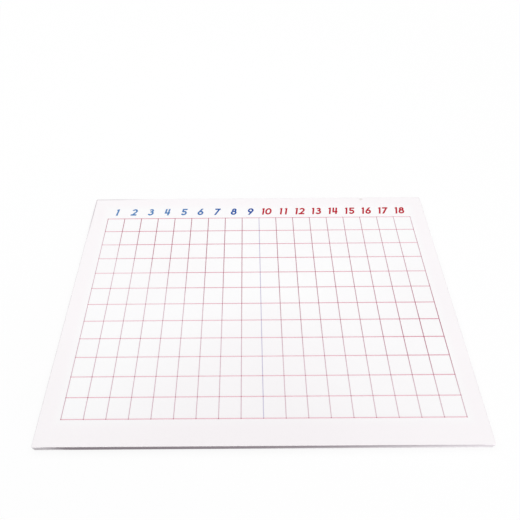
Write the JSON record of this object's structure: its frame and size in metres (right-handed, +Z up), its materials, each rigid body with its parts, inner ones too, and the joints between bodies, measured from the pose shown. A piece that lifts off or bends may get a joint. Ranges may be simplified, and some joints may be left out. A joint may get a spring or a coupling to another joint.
{
  "type": "subtraction board",
  "caption": "Flat white teaching board printed with a pink grid of squares, a pale blue divider and a row of blue and red numerals above the columns.",
  "frame": {"origin": "middle of the board's underside", "axes": "+X along the row of numerals, from the first column to the last; +Y from the front edge towards the numerals; +Z up, out of the printed face"},
  "size_m": [0.498, 0.371, 0.0091],
  "materials": {
    "white_board": "smooth white satin coating on wood-based board",
    "pink_line_ink": "matte printed ink",
    "pale_blue_line_ink": "matte printed ink",
    "blue_ink": "matte printed ink",
    "red_ink": "matte printed ink"
  },
  "bodies": {
    "root": {"board": "white_board", "red_grid_lines": "pink_line_ink", "blue_tens_line": "pale_blue_line_ink", "blue_numerals": "blue_ink", "red_numerals": "red_ink"}
  },
  "joints": []
}
